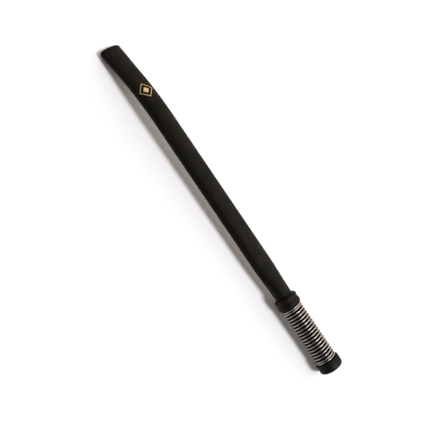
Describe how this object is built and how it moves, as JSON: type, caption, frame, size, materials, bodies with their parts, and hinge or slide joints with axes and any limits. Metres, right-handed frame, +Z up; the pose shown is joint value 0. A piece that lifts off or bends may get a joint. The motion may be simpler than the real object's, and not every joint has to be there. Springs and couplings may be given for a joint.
{
  "type": "bombilla straw",
  "caption": "Metal mate straw with a flat bent mouth, an oval tube, and a coil-spring strainer that draws off a drilled core once its screw cap is undone.",
  "frame": {"origin": "on the surface that the straw lies on, below the middle of its length and width", "axes": "+X from the mouth to the filter, +Z up from the surface, Y across the flat of the mouth"},
  "size_m": [0.2064, 0.0128, 0.0138],
  "materials": {
    "black_coat": "matt black coat with a fine speckle",
    "spring_wire": "bright drawn steel wire"
  },
  "bodies": {
    "straw": {"straw_tube": "black_coat", "filter_collar": "black_coat", "core_pipe": "black_coat"},
    "spring": {"filter_spring": "spring_wire"},
    "cap": {"end_cap": "black_coat"}
  },
  "joints": [
    {"name": "spring_slide", "type": "slide", "parent": "straw", "child": "spring", "axis": [0.9998, 0, -0.0219], "range_m": [0, 0.044]},
    {"name": "cap_turn", "type": "hinge", "parent": "spring", "child": "cap", "pos_m": [0.10037, 0, 0.00647], "axis": [0.9998, 0, -0.0219], "range_deg": [0, 1800]}
  ]
}
